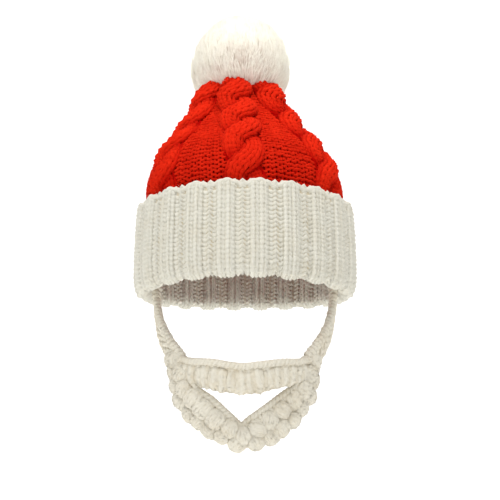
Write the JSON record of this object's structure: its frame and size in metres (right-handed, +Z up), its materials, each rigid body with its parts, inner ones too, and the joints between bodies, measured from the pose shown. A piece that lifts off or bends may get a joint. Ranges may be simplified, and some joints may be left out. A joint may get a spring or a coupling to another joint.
{
  "type": "knitted santa hat with beard",
  "caption": "Cable-knit winter hat with a turned-up ribbed cuff, a fur pompom, and a crocheted moustache and chin beard hung on straps from the cuff.",
  "frame": {"origin": "middle of the head opening, in the plane of the cuff's folded lower edge", "axes": "+Z up when worn by an upright head, -Y the way the wearer faces, +X to the right as seen from the front"},
  "size_m": [0.1918, 0.2348, 0.3547],
  "materials": {
    "red_knit": "matte acrylic yarn, cable knit",
    "cream_knit": "matte acrylic yarn, ribbed knit",
    "white_fur": "soft long-pile fake fur",
    "cream_crochet": "matte thick acrylic yarn, crocheted"
  },
  "bodies": {
    "root": {"crown": "red_knit", "cuff": "cream_knit", "pompom": "white_fur", "strap_left": "cream_crochet", "strap_right": "cream_crochet", "moustache": "cream_crochet", "chin_beard": "cream_crochet"}
  },
  "joints": []
}
